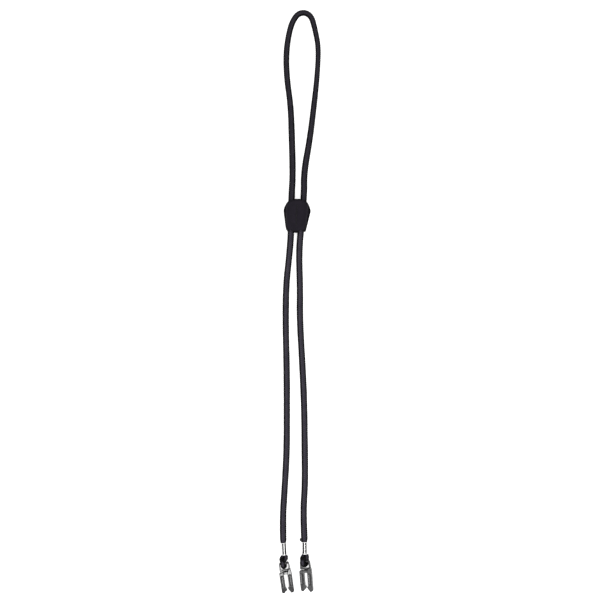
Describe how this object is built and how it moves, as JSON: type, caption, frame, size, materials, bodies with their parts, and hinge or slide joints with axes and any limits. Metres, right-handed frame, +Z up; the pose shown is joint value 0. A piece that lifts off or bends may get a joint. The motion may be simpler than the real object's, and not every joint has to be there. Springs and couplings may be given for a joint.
{
  "type": "eyeglass retainer strap",
  "caption": "Braided neck cord for spectacles with a sliding leather adjuster, crimped ends and a sprung plastic clip on each end.",
  "frame": {"origin": "middle of the slider's flat back, where it rests on the table", "axes": "+Y along the strap from the clips to the neck loop, +Z up out of the slider's front, +X to the right with the clips at the bottom"},
  "size_m": [0.0255, 0.3502, 0.0072],
  "materials": {
    "cord_braid": "matt round braid of black polyester yarn with a slight sheen",
    "core_yarn": "parallel filler yarns",
    "sealed_cord_end": "braid melted to a hard dark nub",
    "slider_leather": "matt black leather with fine grain and a creased border",
    "stitch_thread": "waxed black thread",
    "ferrule_metal": "bright nickel plate on a pressed tube",
    "clip_plastic": "glossy black moulded nylon"
  },
  "bodies": {
    "strap": {"neck_loop_sheath": "cord_braid", "neck_loop_core": "core_yarn", "left_strand_sheath": "cord_braid", "left_strand_core": "core_yarn", "right_strand_sheath": "cord_braid", "right_strand_core": "core_yarn", "left_end_loop": "cord_braid", "right_end_loop": "cord_braid", "right_cord_tail": "sealed_cord_end", "left_ferrule": "ferrule_metal", "right_ferrule": "ferrule_metal"},
    "slider": {"slider_back": "slider_leather", "slider_front": "slider_leather", "slider_spacer": "slider_leather", "slider_stitching": "stitch_thread"},
    "left_clip": {"left_clip_frame": "clip_plastic"},
    "left_jaw": {"left_clip_jaw": "clip_plastic"},
    "right_clip": {"right_clip_frame": "clip_plastic"},
    "right_jaw": {"right_clip_jaw": "clip_plastic"}
  },
  "joints": [
    {"name": "slider_slide", "type": "slide", "parent": "strap", "child": "slider", "axis": [0, 1, 0], "range_m": [-0.1, 0.05], "deforming": ["neck_loop_sheath", "neck_loop_core", "left_strand_sheath", "left_strand_core", "right_strand_sheath", "right_strand_core"]},
    {"name": "left_clip_swing", "type": "hinge", "parent": "strap", "child": "left_clip", "pos_m": [-0.0079, -0.2083, 0.0036], "axis": [0.9847, 0.1507, -0.0872], "range_deg": [-90, 90]},
    {"name": "left_jaw_open", "type": "hinge", "parent": "left_clip", "child": "left_jaw", "pos_m": [-0.00794, -0.21431, 0.00304], "axis": [-0.102, 0.0937, -0.9904], "range_deg": [0, 10], "stiffness_Nm_per_rad": 0.05},
    {"name": "right_clip_swing", "type": "hinge", "parent": "strap", "child": "right_clip", "pos_m": [0.00472, -0.2072, 0.00355], "axis": [0.9597, 0.0553, 0.2756], "range_deg": [-60, 90]},
    {"name": "right_jaw_open", "type": "hinge", "parent": "right_clip", "child": "right_jaw", "pos_m": [0.00432, -0.21319, 0.00288], "axis": [0.2702, 0.0889, -0.9587], "range_deg": [0, 10], "stiffness_Nm_per_rad": 0.05}
  ]
}
